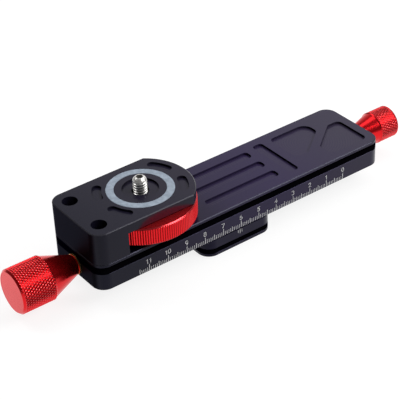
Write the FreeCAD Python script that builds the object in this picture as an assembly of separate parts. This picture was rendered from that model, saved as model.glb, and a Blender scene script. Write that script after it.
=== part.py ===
import FreeCAD, Part
import math
import os
from FreeCAD import Vector

os.makedirs("parts", exist_ok=True)

# Macro focusing rail. All sizes are in millimetres.
# The pieces are drawn in the rail's own axes: X runs from the rail's left end along its length, Y is 0 in the
# middle of its width, and Z is 0 at its underside. They are moved at the end, so that the origin is the mouth
# of the tripod thread in the carriage, with +X still along the rail and +Z up.

# Rail
rail_length = 159.0
rail_width = 38.0
rail_height = 13.2
corner_radius = 6.0
edge_chamfer = 0.35
groove_low = 8.2
groove_high = 11.8

# Channel in the rail's underside, with a ledge for the carriage along each side
mouth_width = 22.0
way_width = 28.0
ledge_height = 3.2
roof_thickness = 3.4
left_wall = 7.2
right_wall = 10.8

# Shallow pockets milled in the rail's top
pocket_depth = 1.1
long_pocket_width = 5.2
long_pocket_pitch = 9.9
tongue_margin = 3.75
cross_pocket_width = 5.55
cross_pocket_length = 28.0
cross_pocket_from_end = 45.85
pocket_rib = 4.6
pocket_corner = 1.8

# Two windows near the rail's right end, with a slanting rib between them
window_one_rib = 4.8
window_one_length = 22.25
window_one_low = -6.1
window_one_high = 13.75
window_one_side = 8.3
window_two_margin = 4.7
window_two_length = 21.9
window_two_low = -14.5
window_two_high = 5.8
window_two_side = 8.55
rib_slope = 0.78

# Platform block and its tongue over the thumb wheel
block_height = 15.4
tongue_thickness = 4.6
tongue_radius = 24.0
bay_radius = 27.2
wheel_axis = 35.55
block_screw_inset = 6.8
block_screw_spacing = 22.4
block_screw_radius = 2.0
block_screw_head_radius = 3.2
block_screw_head_height = 4.0
counterbore_depth = 8.6
hex_socket = 3.0

# Rubber ring, recess round the camera screw, and the four curved pockets
ring_outer = 15.03
ring_inner = 11.46
ring_depth = 1.2
ring_proud = 0.1
recess_radius = 8.15
recess_depth = 1.0
stud_hole_radius = 3.9
curved_pocket_radius = 18.9
curved_pocket_width = 4.2
curved_pocket_from = 16.5
curved_pocket_to = 39.5

# Thumb wheel and camera screw
wheel_radius = 24.4
wheel_thickness = 8.4
wheel_teeth = 140
tooth_depth = 0.35
wheel_chamfer = 0.6
hub_radius = 8.0
thrust_thickness = 0.8
stud_radius = 3.175
stud_height = 5.9
stud_tip_radius = 1.9
stud_tip_height = 1.7
stud_socket_depth = 1.2
stud_neck_radius = 2.45
stud_hex = 11.0
stud_hex_height = 3.5
spigot_radius = 2.5
spigot_depth = 2.0
clip_radius = 4.9
clip_thickness = 0.6

# Lead screw, bushes, washers and knobs
screw_height = 5.1
screw_radius = 3.0
journal_radius = 2.5
bush_radius = 3.75
bush_flange_radius = 4.4
bush_flange = 0.8
washer_radius = 4.8
washer_thickness = 0.65
knob_shoulder = 0.4
left_knob_radius = 10.25
left_knob_length = 30.65
left_knob_grip = 16.3
left_knob_neck = 4.55
left_knob_chamfer = 0.9
left_knob_bore = 18.0
right_knob_radius = 7.8
right_knob_length = 21.6
right_knob_grip = 10.9
right_knob_neck = 4.4
right_knob_chamfer = 0.3
right_knob_bore = 14.0
grub_radius = 1.5
grub_length = 3.0
grub_from_neck = 7.5

# Carriage
plate_length = 38.0
plate_thickness = 8.65
plate_groove_low = 1.55
plate_groove_high = 4.3
slide_length = 25.0
strip_length = 20.0
strip_thickness = 0.8
strip_top_width = 5.0
nut_radius = 4.0
nut_length = 12.0
nut_flange = 2.5
nut_flange_width = 17.0
nut_screw_spacing = 12.4
nut_screw_radius = 1.0
nut_screw_length = 6.0
carriage_screw_spacing_x = 14.0
carriage_screw_spacing_y = 15.2
carriage_screw_radius = 1.5
carriage_screw_head_radius = 2.75
carriage_screw_head_height = 3.0
carriage_screw_bite = 3.0
tripod_bush_radius = 4.76
tripod_bush_bore = 3.2
tripod_bush_length = 8.0
tripod_slot_width = 1.2
tripod_slot_depth = 1.2

# Where the carriage stands at rest: the scale reading at its index mark
rest_reading = 60.8

# Clearances
stop_gap = 0.5
plate_gap = 0.25
block_gap = 0.3
way_gap = 0.08
running_gap = 0.05
thrust_gap = 0.1
wheel_top_gap = 0.2
fitted_gap = 0.02

# Places worked out from the sizes above
half_width = rail_width / 2
roof = rail_height - roof_thickness
channel_start = left_wall
channel_end = rail_length - right_wall
last_mark = channel_start + stop_gap + slide_length / 2
zero_mark = channel_end - stop_gap - slide_length / 2
carriage_x = zero_mark - rest_reading
plate_bottom = -plate_gap - plate_thickness
platform_top = rail_height + block_height
tongue_under = platform_top - tongue_thickness
wheel_top = tongue_under - wheel_top_gap
wheel_bottom = wheel_top - wheel_thickness
hub_bottom = rail_height + thrust_thickness + thrust_gap
recess_floor = platform_top - recess_depth
thread_start = channel_start + thrust_gap
thread_end = channel_end - thrust_gap
left_neck = -thrust_gap - washer_thickness
right_neck = rail_length + thrust_gap + washer_thickness
CUT = 1.0


def box(x0, x1, y0, y1, z0, z1):
    """A block between two corners."""
    return Part.makeBox(x1 - x0, y1 - y0, z1 - z0, Vector(x0, y0, z0))


def post(x, y, radius, z0, z1):
    """A round bar along Z."""
    return Part.makeCylinder(radius, z1 - z0, Vector(x, y, z0))


def bar(radius, x0, x1, y=0.0, z=screw_height):
    """A round bar along X, on the lead screw's line unless another is given."""
    return Part.makeCylinder(radius, x1 - x0, Vector(x0, y, z), Vector(1, 0, 0))


def hexagon(x, y, across_flats, z0, z1):
    """A hexagonal bar along Z."""
    corner = across_flats / math.sqrt(3)
    points = [Vector(x + corner * math.cos(k * math.pi / 3), y + corner * math.sin(k * math.pi / 3), z0)
              for k in range(7)]
    return Part.Face(Part.makePolygon(points)).extrude(Vector(0, 0, z1 - z0))


def outline(corners, z):
    """A closed wire at height z through (x, y, radius) corners, each rounded to its radius."""
    edges = []
    ends = []
    count = len(corners)
    for k in range(count):
        x, y, radius = corners[k]
        here = Vector(x, y, z)
        back = Vector(corners[k - 1][0], corners[k - 1][1], z) - here
        ahead = Vector(corners[(k + 1) % count][0], corners[(k + 1) % count][1], z) - here
        half_turn = back.getAngle(ahead) / 2
        back.normalize()
        ahead.normalize()
        reach = radius / math.tan(half_turn)
        inward = (back + ahead).normalize()
        middle = here + inward * (radius / math.sin(half_turn) - radius)
        ends.append((here + back * reach, middle, here + ahead * reach))
    for k in range(count):
        enter, middle, leave = ends[k]
        edges.append(Part.Arc(enter, middle, leave).toShape())
        edges.append(Part.LineSegment(leave, ends[(k + 1) % count][0]).toShape())
    return Part.Wire(edges)


def prism(wire, height):
    """A solid that stands on a flat wire."""
    return Part.Face(wire).extrude(Vector(0, 0, height))


def rounded_plate(x0, x1, width, radius, z0, z1):
    """A flat plate with four rounded corners, centred on Y."""
    half = width / 2
    corners = [(x0, -half, radius), (x1, -half, radius), (x1, half, radius), (x0, half, radius)]
    return prism(outline(corners, z0), z1 - z0)


def chamfer_rim(solid, size, levels):
    """Chamfers every edge that lies flat at one of the given heights."""
    rim = [e for e in solid.Edges for z in levels
           if abs(e.BoundBox.ZMin - z) < 1e-6 and abs(e.BoundBox.ZMax - z) < 1e-6]
    return solid.makeChamfer(size, rim)


def side_grooves(x0, x1, half, low, high):
    """Two bars of triangular section that cut a 45 degree dovetail groove in each long side."""
    depth = (high - low) / 2
    cutters = []
    for side in (-1, 1):
        points = [Vector(x0 - CUT, side * (half + CUT), low - CUT),
                  Vector(x0 - CUT, side * (half - depth), low + depth),
                  Vector(x0 - CUT, side * (half + CUT), high + CUT)]
        face = Part.Face(Part.makePolygon(points + points[:1]))
        cutters.append(face.extrude(Vector(x1 - x0 + 2 * CUT, 0, 0)))
    return Part.makeCompound(cutters)


def turned(points, centre, axis, across):
    """A solid turned from (radius, distance along the axis) points."""
    wire = Part.makePolygon([centre + across * r + axis * d for r, d in points + points[:1]])
    return Part.Face(wire).revolve(centre, axis, 360)


def block_screw_places():
    """Centres of the two screws that hold the platform block."""
    return [(block_screw_inset, side * block_screw_spacing / 2) for side in (-1, 1)]


def carriage_screw_places():
    """Centres of the four screws that hold the slide block on the carriage plate."""
    return [(carriage_x + i * carriage_screw_spacing_x / 2, j * carriage_screw_spacing_y / 2)
            for i in (-1, 1) for j in (-1, 1)]


def top_pockets():
    """The six shallow pockets in the rail's top: three long, one across, and two windows beside a slanting rib."""
    floor = rail_height - pocket_depth
    r = pocket_corner
    cross_x1 = rail_length - cross_pocket_from_end
    cross_x0 = cross_x1 - cross_pocket_width
    long_x0 = wheel_axis + tongue_radius + tongue_margin
    long_x1 = cross_x0 - pocket_rib
    outlines = []
    for row in (-1, 0, 1):
        y0 = row * long_pocket_pitch - long_pocket_width / 2
        y1 = y0 + long_pocket_width
        outlines.append([(long_x0, y0, r), (long_x1, y0, r), (long_x1, y1, r), (long_x0, y1, r)])
    half = cross_pocket_length / 2
    outlines.append([(cross_x0, -half, r), (cross_x1, -half, r), (cross_x1, half, r), (cross_x0, half, r)])
    # both windows have one wall along the slanting rib, which runs up to the right
    x0 = cross_x1 + window_one_rib
    x1 = x0 + window_one_length
    side = window_one_high - window_one_side
    foot = x1 - (side - window_one_low) / rib_slope
    outlines.append([(x0, window_one_low, 3.0), (foot, window_one_low, 3.0), (x1, side, 3.0),
                     (x1, window_one_high, 5.0), (x0, window_one_high, 2.5)])
    x1 = rail_length - window_two_margin
    x0 = x1 - window_two_length
    side = window_two_low + window_two_side
    lean = x0 + (window_two_high - side) / rib_slope
    outlines.append([(x0, window_two_low, 4.0), (x1, window_two_low, 2.6), (x1, window_two_high, 2.6),
                     (lean, window_two_high, 2.0), (x0, side, 1.4)])
    return [prism(outline(corners, floor), pocket_depth + CUT) for corners in outlines]


def make_rail_body():
    """Rail: rounded bar with side grooves, channel below, pockets above and bores in its end walls."""
    body = rounded_plate(0, rail_length, rail_width, corner_radius, 0, rail_height)
    body = chamfer_rim(body, edge_chamfer, (0, rail_height))
    cutters = [side_grooves(0, rail_length, half_width, groove_low, groove_high)]
    cutters.append(box(channel_start, channel_end, -mouth_width / 2, mouth_width / 2, -CUT, roof))
    cutters.append(box(channel_start, channel_end, -way_width / 2, way_width / 2, ledge_height, roof))
    cutters += top_pockets()
    cutters.append(bar(bush_radius, -CUT, channel_start + CUT))
    cutters.append(bar(bush_flange_radius, channel_start - bush_flange, channel_start + CUT))
    cutters.append(bar(bush_radius, channel_end - CUT, rail_length + CUT))
    cutters.append(bar(bush_flange_radius, channel_end - CUT, channel_end + bush_flange))
    cutters.append(post(wheel_axis, 0, spigot_radius + running_gap, rail_height - spigot_depth, rail_height + CUT))
    for x, y in block_screw_places():
        cutters.append(post(x, y, block_screw_radius + running_gap, roof - CUT, rail_height + CUT))
    return body.cut(cutters)


def curved_pockets():
    """Four curved pockets with round ends, two on each side of the ring."""
    middle = curved_pocket_radius
    half = curved_pocket_width / 2
    floor = platform_top - pocket_depth

    def spot(radius, degrees):
        angle = math.radians(degrees)
        return Vector(wheel_axis + radius * math.cos(angle), radius * math.sin(angle), floor)

    cutters = []
    for low, high in ((curved_pocket_from, curved_pocket_to), (-curved_pocket_to, -curved_pocket_from)):
        for turn in (0, 180):
            a = low + turn
            b = high + turn
            cap = math.degrees(half / middle)
            edges = [Part.Arc(spot(middle - half, b), spot(middle - half, (a + b) / 2), spot(middle - half, a)),
                     Part.Arc(spot(middle - half, a), spot(middle, a - cap), spot(middle + half, a)),
                     Part.Arc(spot(middle + half, a), spot(middle + half, (a + b) / 2), spot(middle + half, b)),
                     Part.Arc(spot(middle + half, b), spot(middle, b + cap), spot(middle - half, b))]
            wire = Part.Wire([edge.toShape() for edge in edges])
            cutters.append(prism(wire, pocket_depth + CUT))
    return cutters


def make_platform_block():
    """Platform: a block with a round tongue, hollowed below the tongue for the thumb wheel."""
    side = wheel_axis + math.sqrt(tongue_radius ** 2 - half_width ** 2)
    tip = wheel_axis + tongue_radius
    r = corner_radius
    edge = r * (1 - math.sqrt(0.5))
    z = rail_height
    spots = [Vector(x, y, z) for x, y in (
        (0, r - half_width), (edge, edge - half_width), (r, -half_width), (side, -half_width), (tip, 0),
        (side, half_width), (r, half_width), (edge, half_width - edge), (0, half_width - r))]
    edges = [Part.Arc(spots[0], spots[1], spots[2]), Part.LineSegment(spots[2], spots[3]),
             Part.Arc(spots[3], spots[4], spots[5]), Part.LineSegment(spots[5], spots[6]),
             Part.Arc(spots[6], spots[7], spots[8]), Part.LineSegment(spots[8], spots[0])]
    block = prism(Part.Wire([e.toShape() for e in edges]), block_height)
    block = chamfer_rim(block, edge_chamfer, (platform_top,))
    cutters = [post(wheel_axis, 0, bay_radius, rail_height - CUT, tongue_under)]
    ring = post(wheel_axis, 0, ring_outer + fitted_gap, platform_top - ring_depth, platform_top + CUT)
    core = post(wheel_axis, 0, ring_inner - fitted_gap, platform_top - ring_depth, platform_top + CUT)
    cutters.append(ring.cut(core))
    cutters.append(post(wheel_axis, 0, recess_radius, recess_floor, platform_top + CUT))
    cutters.append(post(wheel_axis, 0, stud_hole_radius, tongue_under - CUT, platform_top))
    for x, y in block_screw_places():
        cutters.append(post(x, y, block_screw_radius + block_gap, rail_height - CUT, platform_top))
        cutters.append(post(x, y, block_screw_head_radius + block_gap, platform_top - counterbore_depth,
                            platform_top + CUT))
    cutters += curved_pockets()
    return block.cut(cutters)


def cap_screw(x, y, seat, up, radius, head_radius, head_height, length, socket):
    """Socket head screw whose head sits on the height seat; up is the side of the head, 1 above or -1 below."""
    head = post(x, y, head_radius, min(seat, seat + up * head_height), max(seat, seat + up * head_height))
    shank = post(x, y, radius, min(seat, seat - up * length), max(seat, seat - up * length))
    face = seat + up * head_height
    depth = head_height / 2
    drive = hexagon(x, y, socket, min(face, face - up * depth), max(face, face - up * depth))
    return head.fuse(shank).removeSplitter().cut(drive)


def make_platform_screws():
    """Two socket head screws, down through the block into the rail's roof."""
    seat = platform_top - counterbore_depth
    length = seat - roof - block_gap
    return [cap_screw(x, y, seat, 1, block_screw_radius, block_screw_head_radius, block_screw_head_height,
                      length, hex_socket) for x, y in block_screw_places()]


def make_rubber_ring():
    """Anti-slip ring, a little proud of the platform."""
    low = platform_top - ring_depth
    high = platform_top + ring_proud
    return post(wheel_axis, 0, ring_outer, low, high).cut(post(wheel_axis, 0, ring_inner, low, high))


def knurled_ring(scale, z):
    """The wheel's toothed outline at height z, drawn in by a scale: one point on each crest and in each root."""
    points = []
    for k in range(2 * wheel_teeth):
        angle = math.pi * k / wheel_teeth
        radius = scale * (wheel_radius - tooth_depth * (k % 2))
        points.append(Vector(wheel_axis + radius * math.cos(angle), radius * math.sin(angle), z))
    return points


def knurled_disc():
    """A disc with V teeth round its rim and a chamfer above and below, closed from flat faces."""
    drawn_in = 1 - wheel_chamfer / wheel_radius
    rings = [knurled_ring(drawn_in, wheel_bottom), knurled_ring(1.0, wheel_bottom + wheel_chamfer),
             knurled_ring(1.0, wheel_top - wheel_chamfer), knurled_ring(drawn_in, wheel_top)]
    faces = []
    for ring in (rings[0], rings[-1]):
        faces.append(Part.Face(Part.makePolygon(ring + ring[:1])))
    for below, above in zip(rings, rings[1:]):
        for k in range(2 * wheel_teeth):
            n = (k + 1) % (2 * wheel_teeth)
            faces.append(Part.Face(Part.makePolygon([below[k], below[n], above[n], above[k], below[k]])))
    disc = Part.makeSolid(Part.makeShell(faces))
    if disc.Volume < 0:
        disc.reverse()
    return disc


def make_thumb_wheel():
    """Wheel with a straight knurl, a hub below, a hexagonal seat for the screw's head and a seat for the clip."""
    wheel = knurled_disc().fuse(post(wheel_axis, 0, hub_radius, hub_bottom, wheel_bottom + CUT))
    seat_top = hub_bottom + stud_hex_height
    cutters = [hexagon(wheel_axis, 0, stud_hex + 2 * fitted_gap, hub_bottom - CUT, seat_top),
               post(wheel_axis, 0, stud_radius + fitted_gap, hub_bottom, wheel_top + CUT),
               post(wheel_axis, 0, clip_radius + block_gap, wheel_top - clip_thickness - block_gap, wheel_top + CUT)]
    return wheel.cut(cutters)


def make_camera_stud():
    """Camera screw: spigot in the rail, hexagonal head in the wheel, clip groove, relief and plain thread barrel."""
    foot = rail_height - spigot_depth + thrust_gap
    seat_top = hub_bottom + stud_hex_height
    groove_bottom = wheel_top - clip_thickness - block_gap
    groove_top = groove_bottom + clip_thickness + 2 * fitted_gap
    relief = tongue_under + block_gap
    barrel = recess_floor + wheel_top_gap
    top = platform_top + stud_height
    shoulder = (stud_radius + stud_tip_radius) / 2 + stud_tip_height / 7
    stud = turned([(0, foot), (spigot_radius, foot), (spigot_radius, hub_bottom), (stud_radius, hub_bottom),
                   (stud_radius, groove_bottom), (stud_neck_radius, groove_bottom), (stud_neck_radius, groove_top),
                   (stud_radius, groove_top), (stud_radius, relief), (stud_neck_radius, relief),
                   (stud_neck_radius, barrel), (stud_radius, barrel), (stud_radius, top - stud_tip_height),
                   (shoulder, top - stud_tip_height / 3), (stud_tip_radius, top), (0, top)],
                  Vector(wheel_axis, 0, 0), Vector(0, 0, 1), Vector(1, 0, 0))
    stud = stud.fuse(hexagon(wheel_axis, 0, stud_hex, hub_bottom, seat_top))
    return stud.cut(hexagon(wheel_axis, 0, hex_socket, top - stud_socket_depth, top + CUT))


def make_stud_clip():
    """Open retaining ring in the camera screw's groove."""
    low = wheel_top - clip_thickness - block_gap + fitted_gap
    high = low + clip_thickness
    ring = post(wheel_axis, 0, clip_radius, low, high)
    hole = post(wheel_axis, 0, stud_neck_radius + fitted_gap, low, high)
    gap = box(wheel_axis, wheel_axis + clip_radius + CUT, -stud_neck_radius, stud_neck_radius, low, high)
    return ring.cut([hole, gap])


def make_wheel_washer():
    """Thrust washer between the wheel's hub and the rail."""
    high = rail_height + thrust_thickness
    washer = post(wheel_axis, 0, hub_radius, rail_height, high)
    return washer.cut(post(wheel_axis, 0, spigot_radius + block_gap, rail_height, high))


def make_bush(wall_start, wall_end, flange_start):
    """Flanged bush in an end wall, with its flange sunk flush in the wall's face on the channel's side."""
    flange = bar(bush_flange_radius, flange_start, flange_start + bush_flange)
    bush = bar(bush_radius, wall_start, wall_end).fuse(flange)
    return bush.removeSplitter().cut(bar(journal_radius + running_gap, wall_start, wall_end))


def make_lead_screw():
    """Screw with a plain barrel at its thread's outer size, and a journal at each end that reaches into its knob."""
    journal = bar(journal_radius, left_neck - left_knob_bore, right_neck + right_knob_bore)
    thread = bar(screw_radius, thread_start, thread_end)
    return journal.fuse(thread).removeSplitter()


def make_knob(neck_face, away, radius, length, grip, neck_radius, chamfer, bore):
    """Knob turned with a cone neck and a chamfered grip; away is 1 or -1, the side its end face looks to."""
    cone_end = length - grip
    profile = [(0, 0), (neck_radius, 0), (radius - knob_shoulder, cone_end), (radius, cone_end + knob_shoulder),
               (radius, length - chamfer), (radius - chamfer, length), (0, length)]
    centre = Vector(neck_face, 0, screw_height)
    axis = Vector(away, 0, 0)
    knob = turned(profile, centre, axis, Vector(0, 0, 1))
    shaft = Part.makeCylinder(journal_radius + fitted_gap, bore, centre, axis)
    thread = Part.makeCylinder(grub_radius + fitted_gap, radius, centre + axis * grub_from_neck, Vector(0, 1, 0))
    return knob.cut([shaft, thread])


def make_grub_screws():
    """One grub screw in each knob's neck, against the journal."""
    screws = []
    for neck_face, away in ((left_neck, -1), (right_neck, 1)):
        x = neck_face + away * grub_from_neck
        screw = Part.makeCylinder(grub_radius, grub_length, Vector(x, journal_radius, screw_height), Vector(0, 1, 0))
        reach = Vector(x, journal_radius + grub_length / 2, screw_height)
        socket = Part.makeCylinder(grub_radius / 2, grub_length / 2, reach, Vector(0, 1, 0))
        screws.append(screw.cut(socket))
    return screws


def make_washer(x0):
    """Thin washer between a knob and the rail's end."""
    x1 = x0 + washer_thickness
    return bar(washer_radius, x0, x1).cut(bar(journal_radius + fitted_gap, x0, x1))


def make_carriage_plate():
    """Square dovetail plate under the rail, bored for the tripod bush and for four screws from below."""
    top = -plate_gap
    half = plate_length / 2
    plate = rounded_plate(carriage_x - half, carriage_x + half, rail_width, corner_radius, plate_bottom, top)
    plate = chamfer_rim(plate, edge_chamfer, (plate_bottom,))
    cutters = [side_grooves(carriage_x - half, carriage_x + half, half_width, plate_bottom + plate_groove_low,
                            plate_bottom + plate_groove_high)]
    cutters.append(post(carriage_x, 0, tripod_bush_radius, plate_bottom - CUT, plate_bottom + tripod_bush_length))
    head_depth = carriage_screw_head_height + block_gap
    for x, y in carriage_screw_places():
        cutters.append(post(x, y, carriage_screw_radius + running_gap, plate_bottom, top + CUT))
        cutters.append(post(x, y, carriage_screw_head_radius + block_gap, plate_bottom - CUT,
                            plate_bottom + head_depth))
    return plate.cut(cutters)


def make_guide_strips():
    """Two liners of C section that wrap the slide block's flanges and run on the rail's ways."""
    x0 = carriage_x - strip_length / 2
    x1 = carriage_x + strip_length / 2
    t = strip_thickness
    low = ledge_height + way_gap
    high = roof - way_gap
    outside = way_width / 2 - way_gap
    strips = []
    for side in (-1, 1):
        points = [(mouth_width / 2 + block_gap, low), (outside, low), (outside, high), (outside - strip_top_width, high),
                  (outside - strip_top_width, high - t), (outside - t, high - t), (outside - t, low + t),
                  (mouth_width / 2 + block_gap, low + t)]
        corners = [Vector(x0, side * y, z) for y, z in points + points[:1]]
        strips.append(Part.Face(Part.makePolygon(corners)).extrude(Vector(x1 - x0, 0, 0)))
    return strips


def nut_shape(gap):
    """The lead nut's outside, grown by a gap: a round body and a flange with round ends."""
    x1 = carriage_x + slide_length / 2
    radius = nut_radius + gap
    reach = nut_flange_width / 2 - nut_radius
    start = x1 - nut_flange - gap
    flange = box(start, x1, -reach, reach, screw_height - radius, screw_height + radius)
    ends = [bar(radius, start, x1, side * reach) for side in (-1, 1)]
    return flange.fuse(ends + [bar(radius, x1 - nut_length - gap, x1)]).removeSplitter()


def nut_screw_shape(side, gap):
    """One flange screw of the lead nut, flush with the flange."""
    x1 = carriage_x + slide_length / 2
    y = side * nut_screw_spacing / 2
    head = bar(2 * nut_screw_radius + gap, x1 - nut_flange / 2, x1, y)
    return head.fuse(bar(nut_screw_radius + gap, x1 - nut_screw_length, x1, y)).removeSplitter()


def make_slide_block(strips):
    """T-shaped block in the channel, relieved for its liners, the nut and the lead screw."""
    x0 = carriage_x - slide_length / 2
    x1 = carriage_x + slide_length / 2
    neck = mouth_width / 2 - block_gap
    wing = way_width / 2 - block_gap
    block = box(x0, x1, -neck, neck, -plate_gap, roof - block_gap)
    block = block.fuse(box(x0, x1, -wing, wing, ledge_height + block_gap, roof - block_gap)).removeSplitter()
    cutters = list(strips)
    cutters.append(nut_shape(fitted_gap))
    cutters.append(bar(screw_radius + block_gap, x0 - CUT, x1 + CUT))
    for side in (-1, 1):
        cutters.append(nut_screw_shape(side, fitted_gap))
    for x, y in carriage_screw_places():
        cutters.append(post(x, y, carriage_screw_radius + fitted_gap, -plate_gap - CUT, carriage_screw_bite + fitted_gap))
    return block.cut(cutters)


def make_lead_nut():
    """Brass nut with a flange, bored to run on the lead screw."""
    x1 = carriage_x + slide_length / 2
    cutters = [bar(screw_radius + running_gap, x1 - nut_length - CUT, x1 + CUT)]
    for side in (-1, 1):
        cutters.append(nut_screw_shape(side, fitted_gap))
    return nut_shape(0).cut(cutters)


def make_carriage_screws():
    """Four socket head screws from below, through the plate into the slide block."""
    seat = plate_bottom + carriage_screw_head_height + block_gap
    length = carriage_screw_bite - seat
    return [cap_screw(x, y, seat, -1, carriage_screw_radius, carriage_screw_head_radius, carriage_screw_head_height,
                      length, 2 * carriage_screw_radius) for x, y in carriage_screw_places()]


def make_tripod_bush():
    """Reducer bush flush with the plate's underside, with a driver slot across it."""
    top = plate_bottom + tripod_bush_length - fitted_gap
    bush = post(carriage_x, 0, tripod_bush_radius - fitted_gap, plate_bottom, top)
    slot = box(carriage_x - tripod_slot_width / 2, carriage_x + tripod_slot_width / 2, -tripod_bush_radius,
               tripod_bush_radius, plate_bottom - CUT, plate_bottom + tripod_slot_depth)
    return bush.cut([post(carriage_x, 0, tripod_bush_bore, plate_bottom - CUT, top + CUT), slot])


def export(name, shape):
    """Moves a piece, or a list of like pieces, to the part's origin and writes it."""
    if isinstance(shape, list):
        shape = Part.makeCompound(shape)
    moved = shape.copy()
    moved.translate(Vector(-carriage_x, 0, -plate_bottom))
    solids = moved.Solids
    if not moved.isValid():
        raise ValueError(name + " is not a valid shape")
    print(name, len(solids), "solids", round(sum(s.Volume for s in solids), 2), "mm3")
    Part.makeCompound(solids).exportStep("parts/" + name + ".step")


guide_strips = make_guide_strips()
export("rail_body", make_rail_body())
export("platform_block", make_platform_block())
export("platform_screws", make_platform_screws())
export("rubber_ring", make_rubber_ring())
export("bush_left", make_bush(0, channel_start, channel_start - bush_flange))
export("bush_right", make_bush(channel_end, rail_length, channel_end))
export("wheel_washer", make_wheel_washer())
export("thumb_wheel", make_thumb_wheel())
export("camera_stud", make_camera_stud())
export("stud_clip", make_stud_clip())
export("lead_screw", make_lead_screw())
export("knob_left", make_knob(left_neck, -1, left_knob_radius, left_knob_length, left_knob_grip, left_knob_neck,
                              left_knob_chamfer, left_knob_bore))
export("knob_right", make_knob(right_neck, 1, right_knob_radius, right_knob_length, right_knob_grip,
                               right_knob_neck, right_knob_chamfer, right_knob_bore))
export("washer_left", make_washer(left_neck))
export("washer_right", make_washer(rail_length + thrust_gap))
export("knob_set_screws", make_grub_screws())
export("carriage_plate", make_carriage_plate())
export("slide_block", make_slide_block(guide_strips))
export("guide_strips", guide_strips)
export("lead_nut", make_lead_nut())
export("nut_screws", [nut_screw_shape(side, 0) for side in (-1, 1)])
export("carriage_screws", make_carriage_screws())
export("tripod_bush", make_tripod_bush())
print("travel", round(zero_mark - last_mark, 3), "rest from last mark", round(carriage_x - last_mark, 3),
      "rest from zero", round(zero_mark - carriage_x, 3), "floor to rail", round(-plate_bottom, 3))
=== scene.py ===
import math

import bmesh
import bpy
import numpy as np
from mathutils import Matrix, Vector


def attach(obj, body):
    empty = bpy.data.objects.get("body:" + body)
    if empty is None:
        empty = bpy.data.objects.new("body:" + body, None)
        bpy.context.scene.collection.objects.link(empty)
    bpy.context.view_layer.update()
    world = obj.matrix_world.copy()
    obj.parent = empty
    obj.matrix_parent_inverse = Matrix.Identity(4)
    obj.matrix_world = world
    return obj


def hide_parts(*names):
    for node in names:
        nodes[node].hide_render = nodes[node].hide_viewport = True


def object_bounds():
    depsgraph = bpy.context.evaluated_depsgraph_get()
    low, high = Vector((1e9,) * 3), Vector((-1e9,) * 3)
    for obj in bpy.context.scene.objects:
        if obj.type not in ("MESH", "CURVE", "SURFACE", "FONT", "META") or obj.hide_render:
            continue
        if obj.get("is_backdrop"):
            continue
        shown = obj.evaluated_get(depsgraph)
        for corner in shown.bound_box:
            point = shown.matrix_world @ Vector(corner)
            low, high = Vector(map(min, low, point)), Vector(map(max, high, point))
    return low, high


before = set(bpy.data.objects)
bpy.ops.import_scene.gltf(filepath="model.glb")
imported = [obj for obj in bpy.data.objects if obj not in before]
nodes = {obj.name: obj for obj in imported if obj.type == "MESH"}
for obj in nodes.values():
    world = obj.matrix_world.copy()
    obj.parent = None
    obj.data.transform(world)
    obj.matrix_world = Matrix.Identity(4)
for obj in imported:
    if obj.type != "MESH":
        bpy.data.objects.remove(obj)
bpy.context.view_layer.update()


# --- Rail ---------------------------------------------------------------------------------------------------
# The long bar that carries everything: aluminium, milled from solid, blasted and anodised black. The dye runs
# a little towards violet in the middle of the bar; the colour also darkens towards the left end as painted shade,
# and the side grooves and left end face are painted near-black as painted shade. The cutter left faint rings on
# the floors of its pockets.

class Signal:
    """One output socket of a finish. Sums and products with it, on either side, become Math nodes."""

    def __init__(self, finish, socket):
        self.finish = finish
        self.socket = socket

    def math(self, operation, *values):
        return self.finish.node("ShaderNodeMath", {"operation": operation}, dict(enumerate(values)))

    def __add__(self, other):
        return self.math("ADD", self, other)

    def __sub__(self, other):
        return self.math("SUBTRACT", self, other)

    def __mul__(self, other):
        return self.math("MULTIPLY", self, other)

    def __truediv__(self, other):
        return self.math("DIVIDE", self, other)

    def __pow__(self, other):
        return self.math("POWER", self, other)

    def __rsub__(self, other):
        return self.math("SUBTRACT", other, self)

    def __rtruediv__(self, other):
        return self.math("DIVIDE", other, self)

    def __abs__(self):
        return self.math("ABSOLUTE", self)

    __radd__ = __add__
    __rmul__ = __mul__

    def rise(self, start, end):
        """0 below start, 1 above end, an S curve between; start above end gives the falling curve."""
        low, high, first, last = (start, end, 0.0, 1.0) if start < end else (end, start, 1.0, 0.0)
        return self.finish.node("ShaderNodeMapRange", {"interpolation_type": "SMOOTHSTEP"},
                                {"Value": self, "From Min": low, "From Max": high, "To Min": first, "To Max": last},
                                "Result")


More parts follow.
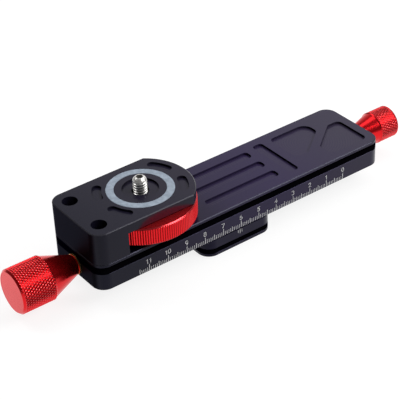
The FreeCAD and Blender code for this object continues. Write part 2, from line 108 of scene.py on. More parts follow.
class Finish:
    """A surface finish: one shader, with what is the same all over set on its own sockets."""

    def __init__(self, name, **constants):
        self.material = bpy.data.materials.new(name)
        self.material.use_nodes = True
        self.tree = self.material.node_tree
        self.shader = self.tree.nodes["Principled BSDF"]
        for socket, value in constants.items():
            self.shader.inputs[socket.replace("_", " ")].default_value = value
        place = self.tree.nodes.new("ShaderNodeTexCoord").outputs["Object"]
        self.place = Signal(self, place)
        self.x, self.y, self.z = (self.node("ShaderNodeSeparateXYZ", {}, {"Vector": self.place}, axis)
                                  for axis in "XYZ")

    def node(self, kind, settings, inputs, output=0):
        """Any node: its settings first, then a number, colour or signal for each socket it is given."""
        made = self.tree.nodes.new(kind)
        for key, value in settings.items():
            if key == "stops":
                while len(made.color_ramp.elements) < len(value):
                    made.color_ramp.elements.new(0.5)
                for stop, (position, colour) in zip(made.color_ramp.elements, value):
                    stop.position = position
                    stop.color = colour
            else:
                setattr(made, key, value)
        for key, value in inputs.items():
            if isinstance(value, Signal):
                self.tree.links.new(value.socket, made.inputs[key])
            else:
                made.inputs[key].default_value = value
        return Signal(self, made.outputs[output])

    def noise(self, size, detail=2.0, stretch=(1.0, 1.0, 1.0)):
        """Smooth noise from 0 to 1 whose lumps are about size metres across, drawn out by stretch."""
        place = self.node("ShaderNodeMapping", {}, {"Vector": self.place, "Scale": [1.0 / s for s in stretch]})
        return self.node("ShaderNodeTexNoise", {}, {"Vector": place, "Scale": 1.0 / size, "Detail": detail})

    def mix(self, amount, first, second):
        """Colour that goes from first to second as amount goes from 0 to 1."""
        return self.node("ShaderNodeMix", {"data_type": "RGBA"}, {0: amount, 6: first, 7: second}, 2)

    def facing(self, axis):
        """How far the surface faces along an axis, from -1 to 1."""
        normal = self.node("ShaderNodeTexCoord", {}, {}, "Normal")
        return self.node("ShaderNodeSeparateXYZ", {}, {"Vector": normal}, axis)

    def reach(self, first, second):
        """Length of two signals taken as the sides of a right angle, such as the distance from an axis."""
        return (first * first + second * second) ** 0.5

    def relief(self, height, depth):
        """Feeds a height from 0 to 1 into the shader's normal as a bump depth metres deep."""
        bump = self.node("ShaderNodeBump", {}, {"Height": height, "Distance": depth, "Strength": 1.0}, "Normal")
        self.feed("Normal", bump)

    def feed(self, socket, signal):
        self.tree.links.new(signal.socket, self.shader.inputs[socket])

    def cover(self, *names):
        """Puts the finish on CAD nodes, or on pieces made here."""
        for name in names:
            piece = nodes.get(name) or bpy.data.objects[name]
            piece.data.materials.clear()
            piece.data.materials.append(self.material)


PAINTED_SHADE_BLACK = (0.0008, 0.0007, 0.0012, 1)
CUT_METAL_AND_HIGHLIGHT = (0.035, 0.034, 0.042, 1)
CUTTER_RING = (0.042, 0.034, 0.058, 1)
DYE_START, DYE_SPAN = -0.08, 0.16


def black_anodise(name, dye, gloss, tint, rims=(), groove=None, shaded_end_face=False, floor_height=None):
    """Black anodised aluminium. Dye lists its colour at places along X; on the rail and the block it darkens
    towards the left end as painted shade. Gloss and tint set its sheen. Each rim is the low and high level of a
    chamfer, painted lighter, partly as cut metal and partly as a painted highlight. Groove is the low and high
    level of the side grooves, painted near-black with a metallic, rougher sheen as painted shade, as is the left
    end face where that is asked for."""
    finish = Finish(name, IOR=1.5, Specular_IOR_Level=gloss, Specular_Tint=tint)
    cloud = finish.noise(0.03, 3.0)
    stops = [((x - DYE_START) / DYE_SPAN, (*colour, 1)) for x, colour in dye]
    place = (finish.x - DYE_START) / DYE_SPAN + (cloud - 0.5) * 0.08
    colour = finish.node("ShaderNodeValToRGB", {"stops": stops}, {0: place})
    grain = finish.noise(0.00035, 1.0)
    height = grain * 0.12
    roughness = 0.24 + (cloud - 0.5) * 0.06 + (grain - 0.5) * 0.06
    # chamfers painted lighter: partly cut metal, partly a painted highlight
    if rims:
        slant = abs(finish.facing("Z"))
        slant = slant.rise(0.6, 0.68) * slant.rise(0.82, 0.74)
        rim = 0.0
        for low, high in rims:
            rim = rim + (abs(finish.z - (low + high) / 2) / (high - low)).rise(0.62, 0.55)
        colour = finish.mix(slant * rim, colour, CUT_METAL_AND_HIGHLIGHT)
    if floor_height is not None:
        from_centre = finish.node("ShaderNodeVectorMath", {"operation": "SUBTRACT"},
                                  {0: finish.place, 1: (0.056, 0.003, 0.0)})
        swirl = finish.node("ShaderNodeTexWave", {"wave_type": "RINGS", "rings_direction": "Z"},
                            {"Vector": from_centre, "Scale": 260.0, "Distortion": 1.5, "Detail": 1.0}, "Fac")
        on_floor = (abs(finish.z - floor_height) / 0.0002).rise(1.0, 0.5)
        colour = finish.mix(swirl * on_floor * 0.35, colour, CUTTER_RING)
        height = height + swirl * on_floor * 0.35
    # painted shade: the side grooves and the left end face are painted near-black, made metallic and rougher
    deep = 0.0
    if groove:
        across = abs(finish.z - (groove[0] + groove[1]) / 2) / (groove[1] - groove[0])
        deep = across.rise(0.52, 0.47) * abs(finish.y).rise(0.01896, 0.01885)
    if shaded_end_face:
        deep = deep + (finish.facing("X") * -1.0).rise(0.75, 0.98) * 0.85
    if groove or shaded_end_face:
        colour = finish.mix(deep, colour, PAINTED_SHADE_BLACK)
        finish.feed("Metallic", deep)
        roughness = roughness + deep * 0.3
    finish.feed("Base Color", colour)
    finish.feed("Roughness", roughness)
    finish.relief(height, 0.00001)
    return finish


# the rail's colour along X: violet dye in the middle, and darker towards the left end as painted shade
rail_dye_and_shade = [(-0.055, (0.003, 0.003, 0.009)), (0.0, (0.019, 0.012, 0.044)), (0.025, (0.022, 0.013, 0.052)),
            (0.075, (0.027, 0.021, 0.044))]
rail_anodise = black_anodise("rail_anodise", rail_dye_and_shade, 0.35, (0.33, 0.33, 0.5, 1), groove=(0.0171, 0.0207),
                             rims=((0.02175, 0.0221), (0.0089, 0.00925)), shaded_end_face=True, floor_height=0.021)
rail_anodise.cover("rail_body")

# --- Scale on the rail's front face -------------------------------------------------------------------------
# Laser-whitened marks: a stroke each millimetre up from the lower edge, longer at 5 and 10 mm, and the
# centimetres numbered 0 to 11 from the right. They are a hair thick and sit on the anodised face.

FRONT = -0.019
MARK = 0.00002
ZERO_X = 0.0608
RAIL_BOTTOM = 0.0089


def add_mesh(name, points, faces, body, finish, crease=35.0):
    """Makes a piece from arrays of points and faces; edges sharper than crease degrees stay sharp."""
    mesh = bpy.data.meshes.new(name)
    mesh.from_pydata(points.reshape(-1, 3).tolist(), [], faces.tolist())
    work = bmesh.new()
    work.from_mesh(mesh)
    bmesh.ops.remove_doubles(work, verts=work.verts, dist=1e-7)
    bmesh.ops.recalc_face_normals(work, faces=work.faces)
    work.to_mesh(mesh)
    work.free()
    mesh.polygons.foreach_set("use_smooth", [True] * len(mesh.polygons))
    mesh.set_sharp_from_angle(angle=math.radians(crease))
    piece = bpy.data.objects.new(name, mesh)
    bpy.context.scene.collection.objects.link(piece)
    finish.cover(name)
    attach(piece, body)
    return piece


def bars(left, right, low, high, face_y):
    """Thin upright bars standing out from a face: arrays of left, right, low and high edges give 8 points each."""
    x = np.stack([left, right, right, left] * 2, 1)
    z = np.stack([low, low, high, high] * 2, 1)
    y = np.broadcast_to([face_y + MARK / 2] * 4 + [face_y - MARK] * 4, x.shape)
    points = np.stack([x, y, z], 2)
    sides = np.array([[0, 1, 5, 4], [1, 2, 6, 5], [2, 3, 7, 6], [3, 0, 4, 7], [4, 5, 6, 7], [3, 2, 1, 0]])
    faces = (sides[None] + 8 * np.arange(len(x))[:, None, None]).reshape(-1, 4)
    return points.reshape(-1, 3), faces


def ribbon(path, width, face_y):
    """A stroke of even width along a path of (x, z) points, raised from a face."""
    along = np.gradient(path, axis=0)
    along /= np.linalg.norm(along, axis=1)[:, None]
    across = np.stack([-along[:, 1], along[:, 0]], 1) * width / 2
    path = path.copy()
    path[0] -= along[0] * width / 2
    path[-1] += along[-1] * width / 2
    rims = np.stack([path + across, path - across, path - across, path + across], 1)
    y = np.broadcast_to([face_y + MARK / 2, face_y + MARK / 2, face_y - MARK, face_y - MARK], rims.shape[:2])
    points = np.stack([rims[..., 0], y, rims[..., 1]], 2)
    step = np.arange(len(path) - 1)[:, None] * 4
    corner = np.arange(4)
    walls = np.stack([step + corner, step + (corner + 1) % 4, step + 4 + (corner + 1) % 4, step + 4 + corner], 2)
    last = (len(path) - 1) * 4
    caps = np.array([[3, 2, 1, 0], [last, last + 1, last + 2, last + 3]])
    return points.reshape(-1, 3), np.concatenate([walls.reshape(-1, 4), caps])


def arc(cx, cz, rx, rz, start, end):
    """Points of an elliptical arc, angles in degrees anticlockwise from the right."""
    t = np.radians(np.linspace(start, end, 3 + int(abs(end - start) / 15)))
    return np.stack([cx + rx * np.cos(t), cz + rz * np.sin(t)], 1)


def line(*points):
    return np.array(points, float)


# each numeral in a box 0.6 wide and 1 high, as strokes of an engraving alphabet
NUMERALS = {
    "0": [arc(0.3, 0.5, 0.3, 0.5, 90, 450)],
    "1": [line((0.08, 0.78), (0.34, 1.0), (0.34, 0.0))],
    "2": [np.concatenate([arc(0.3, 0.72, 0.28, 0.28, 165, -35), line((0.02, 0.0), (0.6, 0.0))])],
    "3": [np.concatenate([arc(0.28, 0.76, 0.26, 0.24, 150, -80), arc(0.28, 0.27, 0.3, 0.27, 80, -150)])],
    "4": [line((0.46, 0.0), (0.46, 1.0), (0.0, 0.3), (0.62, 0.3))],
    "5": [np.concatenate([line((0.56, 1.0), (0.1, 1.0), (0.06, 0.56)), arc(0.28, 0.32, 0.3, 0.32, 120, -145)])],
    "6": [np.concatenate([arc(0.42, 0.34, 0.42, 0.66, 105, 180), arc(0.3, 0.3, 0.3, 0.3, 180, 540)])],
    "7": [line((0.0, 1.0), (0.6, 1.0), (0.2, 0.0))],
    "8": [arc(0.3, 0.75, 0.24, 0.25, 90, 450), arc(0.3, 0.26, 0.3, 0.26, 90, 450)],
    "9": [np.concatenate([arc(0.3, 0.7, 0.3, 0.3, 360, 0), arc(0.18, 0.66, 0.42, 0.66, 0, -75)])],
}

white_mark = Finish("white_marking", Roughness=0.55, Specular_IOR_Level=0.3)
speck = white_mark.noise(0.0004, 2.0)
white_mark.feed("Base Color", white_mark.mix(speck, (0.88, 0.88, 0.89, 1), (0.97, 0.97, 0.97, 1)))

MARKS = 116
millimetre = np.arange(MARKS)
middle = ZERO_X - millimetre * 0.001
tall = np.where(millimetre % 10 == 0, 0.0037, np.where(millimetre % 5 == 0, 0.003, 0.0023))
half = np.where(millimetre % 5 == 0, 0.00016, 0.00013)
low = np.full(MARKS, RAIL_BOTTOM + 0.00036)
add_mesh("scale_ticks", *bars(middle - half, middle + half, low, RAIL_BOTTOM + tall, FRONT), "rail", white_mark)

NUMERAL_FOOT, NUMERAL_HEIGHT = RAIL_BOTTOM + 0.0045, 0.0021
NUMERAL_STEP, NUMERAL_STROKE = 0.00165, 0.00034
strokes = []
for centimetre in range(12):
    digits = str(centimetre)
    for place, digit in enumerate(digits):
        left = ZERO_X - centimetre * 0.01 + (place - len(digits) / 2) * NUMERAL_STEP + 0.00013
        for stroke in NUMERALS[digit]:
            path = np.array([left, NUMERAL_FOOT]) + stroke * NUMERAL_HEIGHT
            strokes.append(ribbon(path, NUMERAL_STROKE, FRONT))
starts = np.cumsum([0] + [len(points) for points, faces in strokes[:-1]])
add_mesh("scale_numerals", np.concatenate([points for points, faces in strokes]),
         np.concatenate([faces + start for start, (points, faces) in zip(starts, strokes)]), "rail", white_mark)

# --- Platform block -----------------------------------------------------------------------------------------
# The block at the rail's left end with its tongue over the wheel: one milled piece of aluminium, blasted and
# anodised as the rail is, but greyer.

# the block's colour darkens towards its left end as painted shade
block_dye_and_shade = [(-0.075, (0.0075, 0.007, 0.0165)), (-0.015, (0.0165, 0.0135, 0.0275))]
block_anodise = black_anodise("block_anodise", block_dye_and_shade, 0.27, (0.44, 0.44, 0.52, 1), rims=((0.03715, 0.0375),),
                              shaded_end_face=True)
block_anodise.cover("platform_block")

# --- Socket head screws -------------------------------------------------------------------------------------
# Black oxidised steel screws: two through the block, four under the carriage, and the knobs' grub screws.

black_steel = Finish("black_steel", Metallic=0.6, Specular_IOR_Level=0.5)
oxide = black_steel.noise(0.0008, 3.0)
black_steel.feed("Base Color", black_steel.mix(oxide, (0.006, 0.006, 0.007, 1), (0.02, 0.02, 0.022, 1)))
black_steel.feed("Roughness", 0.38 + oxide * 0.15)
black_steel.cover("platform_screws", "carriage_screws", "knob_set_screws")

# --- Anti-slip ring -----------------------------------------------------------------------------------------
# A flat ring of grey-blue silicone rubber pressed into the groove round the camera screw. Its two upper edges
# are rounded and it stands 0.1 mm proud.

WHEEL_X = -0.03885


def turn(name, profile, centre, axis, body, finish, steps=96, crease=35.0):
    """A turned piece: (radius, distance) points carried round an axis, X or Z, through centre."""
    r, d = np.array(profile, float).T
    t = np.linspace(0, 2 * np.pi, steps, endpoint=False)
    across = r[:, None] * np.cos(t)
    up = r[:, None] * np.sin(t)
    along = np.broadcast_to(d[:, None], across.shape)
    order = (along, across, up) if axis == "X" else (across, up, along)
    points = np.stack(order, 2) + np.array(centre)
    return add_mesh(name, points, grid_faces(len(r), steps), body, finish, crease)


def grid_faces(rows, columns):
    """Four-sided faces of a grid whose last column joins its first."""
    row = np.arange(rows - 1)[:, None] * columns
    column = np.arange(columns)
    after = (column + 1) % columns
    return np.stack([row + column, row + after, row + columns + after, row + columns + column], 2).reshape(-1, 4)


ring_rubber = Finish("ring_rubber", Specular_IOR_Level=0.35, Sheen_Weight=0.1)
mottle = ring_rubber.noise(0.0016, 4.0)
ring_rubber.feed("Base Color", ring_rubber.mix(mottle.rise(0.35, 0.7), (0.245, 0.295, 0.365, 1),
                                               (0.335, 0.395, 0.475, 1)))
ring_rubber.feed("Roughness", 0.5 + mottle * 0.15)
ring_rubber.relief(ring_rubber.noise(0.0005, 2.0), 0.00002)

RING_OUT, RING_IN, RING_LOW, RING_HIGH, RING_SOFT = 0.01503, 0.01146, 0.0363, 0.0376, 0.00025
bend = np.radians(np.linspace(0, 90, 6))
outer_edge = [(RING_OUT - RING_SOFT * (1 - math.cos(a)), RING_HIGH - RING_SOFT * (1 - math.sin(a))) for a in bend]
inner_edge = [(RING_IN + RING_SOFT * (1 - math.cos(a)), RING_HIGH - RING_SOFT * (1 - math.sin(a)))
              for a in bend[::-1]]
section = [(RING_IN, RING_LOW), (RING_OUT, RING_LOW)] + outer_edge + inner_edge + [(RING_IN, RING_LOW)]
ring = turn("ring_soft", section, (WHEEL_X, 0, 0), "Z", "rail", ring_rubber, steps=160, crease=50.0)
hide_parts("rubber_ring")

# --- Camera screw -------------------------------------------------------------------------------------------
# A 1/4 inch stainless screw, 20 threads to the inch, with a hexagonal socket in its end for assembly and a
# head that the thumb wheel holds. The thread is rolled, with narrow flats on its crests.

steel = Finish("stainless_steel", Metallic=1.0, Anisotropic=0.2)
streak = steel.noise(0.0006, 3.0)
steel.feed("Base Color", steel.mix(streak, (0.66, 0.65, 0.62, 1), (0.78, 0.77, 0.74, 1)))
steel.feed("Roughness", 0.11 + streak * 0.08)

# the stud's finish: bright steel on the crests and on top, with painted shade darkening the thread's roots and the
# socket
rolled = Finish("rolled_thread", Metallic=1.0)
from_axis = rolled.reach(rolled.x - WHEEL_X, rolled.y)
crests_and_top = from_axis.rise(0.00262, 0.003) + rolled.z.rise(0.0416, 0.042)
socket_shade = from_axis.rise(0.00185, 0.0018) * rolled.z.rise(0.04336, 0.0432)
root_shaded_steel = rolled.mix(crests_and_top, (0.34, 0.335, 0.33, 1), (0.95, 0.93, 0.90, 1))
rolled.feed("Base Color", rolled.mix(socket_shade, root_shaded_steel, (0.4, 0.39, 0.38, 1)))
rolled.feed("Roughness", 0.28 + rolled.noise(0.0006, 3.0) * 0.08)


def thread(angle, along, crest, root, pitch):
    """Radius of a right-handed thread: a trapezoid wave of the distance along the axis less the turns made."""
    phase = (along / pitch - angle / (2 * np.pi)) % 1.0
    return root + (crest - root) * np.clip(1.5 - 3.9 * np.abs(phase - 0.5), 0, 1)


STUD_TOP, STUD_THREAD_TOP, STUD_THREAD_LOW = 0.0434, 0.0417, 0.0336
STUD_CREST, STUD_ROOT, STUD_PITCH = 0.00313, 0.00249, 0.00127
steps = 96
t = np.linspace(0, 2 * np.pi, steps, endpoint=False)
z = np.arange(STUD_THREAD_LOW, STUD_TOP - 0.0002, STUD_PITCH / 16)
dome = np.clip((z - STUD_THREAD_TOP) / (STUD_TOP - STUD_THREAD_TOP), 0, 1)
envelope = STUD_CREST - (STUD_CREST - 0.0019) * dome ** 1.8
radius = np.minimum(thread(t[None, :], z[:, None], STUD_CREST, STUD_ROOT, STUD_PITCH), envelope[:, None])
# the last turn of the thread fades into the dome
fade = np.clip((z - STUD_THREAD_TOP + 0.0005) / 0.0008, 0, 1)[:, None]
radius = radius * (1 - fade) + envelope[:, None] * fade
corner = math.pi / 3
socket = 0.0015 / np.cos((t + corner / 2) % corner - corner / 2)
below = [(0.0, 0.0202), (0.0025, 0.0202), (0.0025, 0.0230), (STUD_CREST, 0.0230), (STUD_CREST, 0.0318),
         (0.00245, 0.0318), (0.00245, 0.03244), (STUD_CREST, 0.03244), (STUD_CREST, 0.0334), (STUD_ROOT, 0.03355)]
rows = [np.full(steps, r) for r, d in below] + list(radius)
rows += [np.full(steps, 0.0019), socket, socket, socket * 0.0]
heights = [d for r, d in below] + list(z) + [STUD_TOP, STUD_TOP, STUD_TOP - 0.0012, STUD_TOP - 0.0015]
rows, heights = np.array(rows), np.array(heights)
points = np.stack([WHEEL_X + rows * np.cos(t), rows * np.sin(t), np.broadcast_to(heights[:, None], rows.shape)], 2)
stud = add_mesh("camera_screw", points, grid_faces(len(rows), steps), "camera_screw", rolled, crease=38.0)
side = 0.011 / math.sqrt(3)
spots = np.array([[WHEEL_X + side * math.cos(a), side * math.sin(a)] for a in np.arange(6) * corner])
head = np.concatenate([np.c_[spots, np.full(6, 0.0230)], np.c_[spots, np.full(6, 0.0265)]])
head_faces = np.array([[i, (i + 1) % 6, (i + 1) % 6 + 6, i + 6] for i in range(6)]
                      + [[0, 1, 2, 3], [0, 3, 4, 5], [6, 7, 8, 9], [6, 9, 10, 11]])
stud_head = add_mesh("camera_screw_head", head, head_faces, "camera_screw", steel)
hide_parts("camera_stud")
steel.cover("stud_clip", "nut_screws")

# --- Thumb wheel --------------------------------------------------------------------------------------------
# Red anodised aluminium wheel with a straight knurl, knurled and then chamfered before it was dyed. A hexagonal
# seat in its hub holds the camera screw's head, and a shallow seat on top holds the retaining ring.

WHEEL_LOW, WHEEL_HIGH, WHEEL_OUT, HUB_LOW, HUB_OUT = 0.0243, 0.0327, 0.0244, 0.0230, 0.008
WHEEL_CHAMFER, TOOTH_DEEP, TEETH = 0.0006, 0.00035, 140
WHEEL_BORE, CLIP_SEAT, CLIP_SEAT_LOW, HEX_HALF, HEX_TOP = 0.003195, 0.0052, 0.0318, 0.00552, 0.0265


def toothed_rim(angle, height):
    """Radius of the rim: flat crests with V grooves between them, cut off by a 45 degree cone at each face."""
    phase = np.abs((angle * TEETH / (2 * np.pi)) % 1.0 - 0.5) * 2
    tooth = WHEEL_OUT - TOOTH_DEEP * np.clip((phase - 0.3) / 0.7, 0, 1)
    from_face = np.minimum(height - WHEEL_LOW, WHEEL_HIGH - height)
    return np.minimum(tooth, WHEEL_OUT - WHEEL_CHAMFER + from_face)


def red_anodise(name, shade_and_highlight):
    """Red anodised aluminium: the metal shines through the dye, under a thin clear oxide. The function passed in
    takes the finish and its red, and gives the colour back with painted shade in the roots and a painted highlight
    on the tips or chamfers."""
    finish = Finish(name, Metallic=0.92, IOR=1.5, Specular_IOR_Level=0.4, Coat_Roughness=0.2, Coat_IOR=1.5)
    cloud = finish.noise(0.012, 2.0)
    red = finish.mix(cloud, (0.70, 0.0055, 0.010, 1), (0.82, 0.009, 0.015, 1))
    finish.feed("Base Color", shade_and_highlight(finish, red))
    finish.feed("Coat Weight", 0.12 + cloud * 0.1)
    grain = finish.noise(0.0003, 2.0)
    finish.feed("Roughness", 0.26 + (grain - 0.5) * 0.06)
    finish.relief(grain, 0.0000004)
    return finish


def worn_rim(finish, red):
    """The wheel's colour, with painted shade in the teeth's roots and a painted highlight on the chamfers: distance
    from its axis tells root from crest, and a slanting face is a chamfer.
    """
    out = finish.reach(finish.x - WHEEL_X, finish.y)
    slant = abs(finish.facing("Z"))
    # painted shade darkens the teeth's roots, and a painted highlight lightens the chamfers
    root_shaded = finish.mix(out.rise(0.02428, 0.0241) * out.rise(0.0236, 0.0237) * 0.85, red, (0.14, 0.001, 0.002, 1))
    return finish.mix(slant.rise(0.45, 0.55) * slant.rise(0.9, 0.8) * 0.8, root_shaded, (0.92, 0.06, 0.07, 1))


wheel_red = red_anodise("wheel_red", worn_rim)
rim_t = np.linspace(0, 2 * np.pi, TEETH * 8, endpoint=False)
steps_in = np.array([0.0, 0.00015, 0.00025, 0.00035, 0.00045, 0.0006])
rim_z = np.concatenate([WHEEL_HIGH - steps_in, WHEEL_LOW + steps_in[::-1]])
hexagon = HEX_HALF / np.cos(rim_t % corner - corner / 2)
bore, seat, hub = (np.full(len(rim_t), r) for r in (WHEEL_BORE, CLIP_SEAT, HUB_OUT))
rows = np.array([bore, bore, seat, seat, *toothed_rim(rim_t[None], rim_z[:, None]),
                 hub, hub, hexagon, hexagon, bore])
heights = np.array([HEX_TOP, CLIP_SEAT_LOW, CLIP_SEAT_LOW, WHEEL_HIGH, *rim_z,
                    WHEEL_LOW, HUB_LOW, HUB_LOW, HEX_TOP, HEX_TOP])
points = np.stack([WHEEL_X + rows * np.cos(rim_t), rows * np.sin(rim_t),
                   np.broadcast_to(heights[:, None], rows.shape)], 2)
wheel = add_mesh("thumb_wheel_knurled", points, grid_faces(len(rows), len(rim_t)), "camera_screw", wheel_red,
                 crease=24.0)
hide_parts("thumb_wheel")

# --- Knobs --------------------------------------------------------------------------------------------------
# Red anodised aluminium, turned with a cone neck and a 30 degree diamond knurl on the grip. Each is held on the
# lead screw's journal by a grub screw in its neck. The left one is the larger.

SCREW_Z = 0.014
KNOB_BORE = 0.00252


def knurled_knob(name, node, neck, away, radius, length, grip, neck_radius, chamfer, diamonds,
                 bore):
    """A knob along X: radius against distance from the neck, with a blind bore for the journal. On the grip two
    sets of V grooves cross, each a straight line of the angle and the distance; the radius falls in step with the
    nearer groove's closeness."""
    fine, pitch, deep, shoulder = 10, 0.0023, 0.00036, 0.0004
    columns = diamonds * fine
    angle = np.linspace(0, 2 * np.pi, columns, endpoint=False)
    start, end = length - grip + shoulder, length - chamfer

    def worn_knurl(finish, red):
        """The knob's colour, with painted shade in the knurl's roots and a painted highlight on its tips: on the
        grip, the distance from the axis tells the knurl's roots from its tips.
        """
        out = finish.reach(finish.y, finish.z - SCREW_Z)
        along = abs(finish.x) - abs(neck)
        on_grip = along.rise(start, start + 0.0002) * along.rise(end, end - 0.0002)
        # painted shade in the knurl's roots and a painted highlight on its tips
        root = out.rise(radius - 0.00018, radius - 0.00032) * on_grip
        tip_highlight = out.rise(radius - 0.00007, radius - 0.00002) * on_grip
        root_shaded = finish.mix(root * 0.3, red, (0.12, 0.001, 0.003, 1))
        return finish.mix(tip_highlight * 0.8, root_shaded, (0.92, 0.16, 0.17, 1))

    depth = np.arange(start, end, pitch / fine)
    turns = ((depth - start) / pitch)[:, None]
    across = np.arange(columns)[None] / fine
    first = np.abs((across + turns + 0.5) % 1.0 - 0.5)
    second = np.abs((across - turns + 0.5) % 1.0 - 0.5)
    lift = np.clip(np.minimum(first, second) / 0.37, 0, 1)
    fade = np.clip(np.minimum(depth - start, end - depth) / 0.0004, 0, 1)[:, None]
    knurl = radius - deep * (1 - lift) * fade
    cone = np.linspace(0, 1, 14)
    widening = radius - shoulder - neck_radius
    plain = [(0.0, bore), (KNOB_BORE, bore), (KNOB_BORE, 0.0)]
    plain += [(neck_radius + widening * s, (length - grip) * s) for s in cone]
    last = [(radius, end), (radius - chamfer, length), (radius * 0.5, length), (0.0, length)]
    r = np.array([np.full(columns, r) for r, d in plain] + list(knurl) + [np.full(columns, r) for r, d in last])
    d = np.array([d for r, d in plain] + list(depth) + [d for r, d in last])[:, None] * away + neck
    points = np.stack([np.broadcast_to(d, r.shape), r * np.cos(angle), SCREW_Z + r * np.sin(angle)], 2)
    knob = add_mesh(name, points, grid_faces(len(r), columns), "screw", red_anodise(name + "_red", worn_knurl),
                    crease=24.0)
    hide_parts(node)


knurled_knob("knob_left_knurled", "knob_left", -0.07515, -1, 0.01025, 0.03065, 0.0163, 0.00455, 0.0009, 47,
             0.018)
knurled_knob("knob_right_knurled", "knob_right", 0.08535, 1, 0.0078, 0.0216, 0.0109, 0.0044, 0.0003, 36,
             0.014)

# --- Washers, bushes and nut --------------------------------------------------------------------------------
# Turned brass washers behind the knobs, the brass nut and tripod bush, and sintered bronze bushes.

brass = Finish("turned_brass", Metallic=1.0)
tarnish = brass.noise(0.002, 3.0)
brass.feed("Base Color", brass.mix(tarnish, (0.72, 0.50, 0.20, 1), (0.56, 0.37, 0.13, 1)))
brass.feed("Roughness", 0.26 + tarnish * 0.16)
brass.cover("washer_left", "washer_right", "lead_nut", "tripod_bush")

bronze = Finish("sintered_bronze", Metallic=0.9)
pores = bronze.noise(0.0003, 2.0)
bronze.feed("Base Color", bronze.mix(pores.rise(0.4, 0.6), (0.22, 0.12, 0.05, 1), (0.46, 0.29, 0.14, 1)))
bronze.feed("Roughness", 0.45 + pores * 0.2)
bronze.relief(pores, 0.00003)
bronze.cover("bush_left", "bush_right")

# --- Lead screw ---------------------------------------------------------------------------------------------
# Stainless steel screw of 1 mm pitch along the channel, with plain journals that run in the bushes and reach
# into the knobs.

JOURNAL, SCREW_CREST, SCREW_ROOT, SCREW_PITCH = 0.0025, 0.003, 0.00242, 0.001
screw_steps = 28
screw_t = np.linspace(0, 2 * np.pi, screw_steps, endpoint=False)
screw_x = np.arange(-0.0671, 0.0737, SCREW_PITCH / 8)
screw_r = thread(screw_t[None], screw_x[:, None] + 1.0, SCREW_CREST, SCREW_ROOT, SCREW_PITCH)
ends = [(-0.09315, 0.0), (-0.09315, JOURNAL), (-0.0671, JOURNAL)]
tail = [(0.0737, JOURNAL), (0.09935, JOURNAL), (0.09935, 0.0)]
rows = np.array([np.full(screw_steps, r) for x, r in ends] + list(screw_r)
                + [np.full(screw_steps, r) for x, r in tail])
xs = np.array([x for x, r in ends] + list(screw_x) + [x for x, r in tail])
points = np.stack([np.broadcast_to(xs[:, None], rows.shape), rows * np.cos(screw_t),
                   SCREW_Z + rows * np.sin(screw_t)], 2)
lead = add_mesh("lead_screw_threaded", points, grid_faces(len(rows), screw_steps), "screw", steel, crease=50.0)
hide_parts("lead_screw")

# --- Carriage -----------------------------------------------------------------------------------------------
# Dovetail plate under the rail, anodised like it, and the slide block that runs in the channel, left bare.

# the plate's groove is painted near-black as painted shade, and its lower chamfer painted lighter, partly as a
# painted highlight
plate_dye = [(-0.019, (0.010, 0.0075, 0.025)), (0.019, (0.011, 0.008, 0.027))]
plate_anodise = black_anodise("plate_anodise", plate_dye, 0.3, (0.33, 0.33, 0.5, 1), rims=((0.0, 0.00035),),
                              groove=(0.00155, 0.0043))
plate_anodise.cover("carriage_plate")

marks_x = np.array([-0.00105, 0.0, 0.00105])
marks_low = np.array([0.0068, 0.0062, 0.0068])
marks_high = np.array([0.0083, 0.0086, 0.0083])
add_mesh("index_marks", *bars(marks_x - 0.00014, marks_x + 0.00014, marks_low, marks_high, FRONT), "carriage",
         white_mark)

milled = Finish("milled_aluminium", Metallic=1.0, Anisotropic=0.4)
lines = milled.noise(0.0009, 3.0, stretch=(12.0, 1.0, 1.0))
milled.feed("Base Color", milled.mix(lines, (0.52, 0.53, 0.55, 1), (0.68, 0.69, 0.70, 1)))
milled.feed("Roughness", 0.28 + lines * 0.2)
milled.cover("slide_block")

# --- Liners and thrust washer -------------------------------------------------------------------------------
# White acetal, cut from sheet: the two liners round the slide block's flanges and the washer under the wheel.

acetal = Finish("white_acetal", IOR=1.48, Subsurface_Weight=0.05)
wax = acetal.noise(0.003, 2.0)
acetal.feed("Base Color", acetal.mix(wax, (0.74, 0.73, 0.69, 1), (0.82, 0.81, 0.78, 1)))
acetal.feed("Roughness", 0.42 + wax * 0.12)
acetal.cover("guide_strips", "wheel_washer")

# --- Floor, light and camera --------------------------------------------------------------------------------
# A pale floor, white where the camera and shiny surfaces see it, soft boxes overhead, and the photograph's camera.

FLOOR_GREY, FLOOR_GLOW, ROOM_LIGHT = 0.22, 0.84, 0.26
floor_mesh = bpy.data.meshes.new("floor")
floor_mesh.from_pydata([(-3, -3, 0), (3, -3, 0), (3, 3, 0), (-3, 3, 0)], [], [(0, 1, 2, 3)])
floor = bpy.data.objects.new("floor", floor_mesh)
bpy.context.scene.collection.objects.link(floor)
floor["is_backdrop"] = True
floor_finish = bpy.data.materials.new("floor")
floor_finish.use_nodes = True
tree = floor_finish.node_tree
tree.nodes.clear()
out = tree.nodes.new("ShaderNodeOutputMaterial")
diffuse = tree.nodes.new("ShaderNodeBsdfDiffuse")
diffuse.inputs["Color"].default_value = (*[FLOOR_GREY] * 3, 1)
glow = tree.nodes.new("ShaderNodeEmission")
glow.inputs["Strength"].default_value = FLOOR_GLOW
add = tree.nodes.new("ShaderNodeAddShader")
path = tree.nodes.new("ShaderNodeLightPath")
seen = tree.nodes.new("ShaderNodeMath")
seen.operation = "MAXIMUM"
choose = tree.nodes.new("ShaderNodeMixShader")
tree.links.new(diffuse.outputs[0], add.inputs[0])
tree.links.new(glow.outputs[0], add.inputs[1])
tree.links.new(path.outputs["Is Camera Ray"], seen.inputs[0])
tree.links.new(path.outputs["Is Glossy Ray"], seen.inputs[1])
through = tree.nodes.new("ShaderNodeMath")
through.operation = "MAXIMUM"
tree.links.new(seen.outputs[0], through.inputs[0])
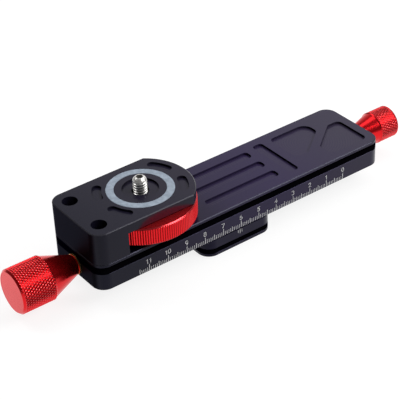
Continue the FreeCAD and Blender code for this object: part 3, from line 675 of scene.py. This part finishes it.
tree.links.new(path.outputs["Is Transmission Ray"], through.inputs[1])
tree.links.new(through.outputs[0], choose.inputs[0])
tree.links.new(diffuse.outputs[0], choose.inputs[1])
tree.links.new(add.outputs[0], choose.inputs[2])
tree.links.new(choose.outputs[0], out.inputs["Surface"])
floor_mesh.materials.append(floor_finish)

world = bpy.data.worlds.new("studio")
bpy.context.scene.world = world
world.use_nodes = True
tree = world.node_tree
tree.nodes.clear()
out = tree.nodes.new("ShaderNodeOutputWorld")
white = tree.nodes.new("ShaderNodeBackground")
white.inputs["Color"].default_value = (1, 1, 1, 1)
white.inputs["Strength"].default_value = 1.0
room = tree.nodes.new("ShaderNodeBackground")
room.inputs["Color"].default_value = (1, 1, 1, 1)
room.inputs["Strength"].default_value = ROOM_LIGHT
# shiny surfaces see the white sweep behind the part, and a dimmer room in front of it and above
sweep = tree.nodes.new("ShaderNodeBackground")
sweep.inputs["Color"].default_value = (1, 1, 1, 1)
place = tree.nodes.new("ShaderNodeTexCoord")
toward = tree.nodes.new("ShaderNodeVectorMath")
toward.operation = "DOT_PRODUCT"
toward.inputs[1].default_value = (0.740, 0.621, 0.259)
tree.links.new(place.outputs["Generated"], toward.inputs[0])
grade = tree.nodes.new("ShaderNodeMapRange")
grade.interpolation_type = "SMOOTHSTEP"
grade.inputs["From Min"].default_value = 0.7
grade.inputs["From Max"].default_value = 1.0
grade.inputs["To Min"].default_value = 0.12
grade.inputs["To Max"].default_value = 1.0
tree.links.new(toward.outputs["Value"], grade.inputs["Value"])
tree.links.new(grade.outputs["Result"], sweep.inputs["Strength"])
path = tree.nodes.new("ShaderNodeLightPath")
shiny = tree.nodes.new("ShaderNodeMath")
shiny.operation = "MAXIMUM"
tree.links.new(path.outputs["Is Glossy Ray"], shiny.inputs[0])
tree.links.new(path.outputs["Is Transmission Ray"], shiny.inputs[1])
reflected = tree.nodes.new("ShaderNodeMixShader")
tree.links.new(shiny.outputs[0], reflected.inputs[0])
tree.links.new(room.outputs[0], reflected.inputs[1])
tree.links.new(sweep.outputs[0], reflected.inputs[2])
choose = tree.nodes.new("ShaderNodeMixShader")
tree.links.new(path.outputs["Is Camera Ray"], choose.inputs[0])
tree.links.new(reflected.outputs[0], choose.inputs[1])
tree.links.new(white.outputs[0], choose.inputs[2])
tree.links.new(choose.outputs[0], out.inputs["Surface"])


def soft_box(name, azimuth, elevation, distance, width, height, power):
    """A rectangular lamp that looks at the part from a direction, azimuth 0 in front and 90 to the right."""
    lamp = bpy.data.lights.new(name, "AREA")
    lamp.shape = "RECTANGLE"
    lamp.size, lamp.size_y, lamp.energy = width, height, power
    holder = bpy.data.objects.new(name, lamp)
    a, e = math.radians(azimuth), math.radians(elevation)
    back = np.array([math.sin(a) * math.cos(e), -math.cos(a) * math.cos(e), math.sin(e)])
    right = np.cross((0, 0, 1), back)
    right /= np.linalg.norm(right)
    up = np.cross(back, right)
    holder.matrix_world = Matrix([[right[i], up[i], back[i], back[i] * distance] for i in range(3)]
                                 + [[0, 0, 0, 1]])
    bpy.context.scene.collection.objects.link(holder)


soft_box("box_overhead", 150, 72, 1.1, 0.8, 0.5, 2.2)
soft_box("box_front", 40, 42, 1.3, 0.6, 0.45, 7.0)
soft_box("box_left", -150, 50, 1.1, 0.5, 0.5, 2.8)
soft_box("box_right", 80, 50, 1.1, 0.5, 0.5, 2.8)

lens = bpy.data.cameras.new("camera")
camera = bpy.data.objects.new("camera", lens)
bpy.context.scene.collection.objects.link(camera)
bpy.context.scene.camera = camera
lens.sensor_width = 36.0
lens.lens = 126.05
lens.clip_start, lens.clip_end = 0.01, 20.0
azimuth, elevation, roll = math.radians(-35.5099), math.radians(34.3082), math.radians(-2.5589)
back = np.array([math.sin(azimuth) * math.cos(elevation), -math.cos(azimuth) * math.cos(elevation),
                 math.sin(elevation)])
level = np.cross((0, 0, 1), back)
level /= np.linalg.norm(level)
above = np.cross(back, level)
right = math.cos(roll) * level + math.sin(roll) * above
up = math.cos(roll) * above - math.sin(roll) * level
spot = np.array([-0.0088125, -0.0016624, 0.0189]) + back * 0.625076
camera.matrix_world = Matrix([[right[i], up[i], back[i], spot[i]] for i in range(3)] + [[0, 0, 0, 1]])

bpy.context.scene.view_settings.view_transform = "Standard"

low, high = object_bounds()
